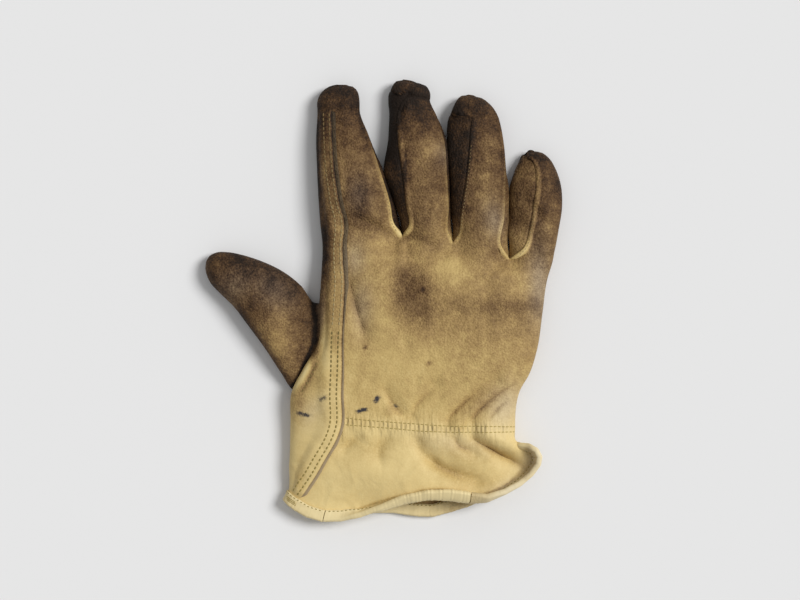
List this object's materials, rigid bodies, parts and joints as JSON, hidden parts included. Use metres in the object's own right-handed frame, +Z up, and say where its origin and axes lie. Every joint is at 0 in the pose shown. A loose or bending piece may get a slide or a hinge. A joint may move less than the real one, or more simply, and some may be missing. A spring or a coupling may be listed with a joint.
{
  "type": "worn leather work glove",
  "caption": "Right-hand unlined leather work glove lying flat on its palm, with forked side walls between the fingers, a set-in thumb, a shirred wrist and a flared, bound cuff.",
  "frame": {"origin": "centre of the glove's bounding box, on the surface that the palm rests on", "axes": "+Y from the cuff to the fingertips, +X to the little finger's side, +Z up from the resting surface"},
  "size_m": [0.199, 0.2467, 0.0222],
  "materials": {
    "tan_grain_leather": "soft tan grain leather, soiled and creased",
    "soiled_grain_leather": "grain leather gone dark brown with dirt and grease",
    "cream_binding_leather": "cream binding leather, folded over the hem and stitched"
  },
  "bodies": {
    "root": {"back": "tan_grain_leather", "palm": "tan_grain_leather", "side_wall_index_middle": "soiled_grain_leather", "side_wall_middle_ring": "soiled_grain_leather", "side_wall_ring_little": "soiled_grain_leather", "thumb": "soiled_grain_leather", "hem_binding_back": "cream_binding_leather", "hem_binding_palm": "cream_binding_leather"}
  },
  "joints": []
}
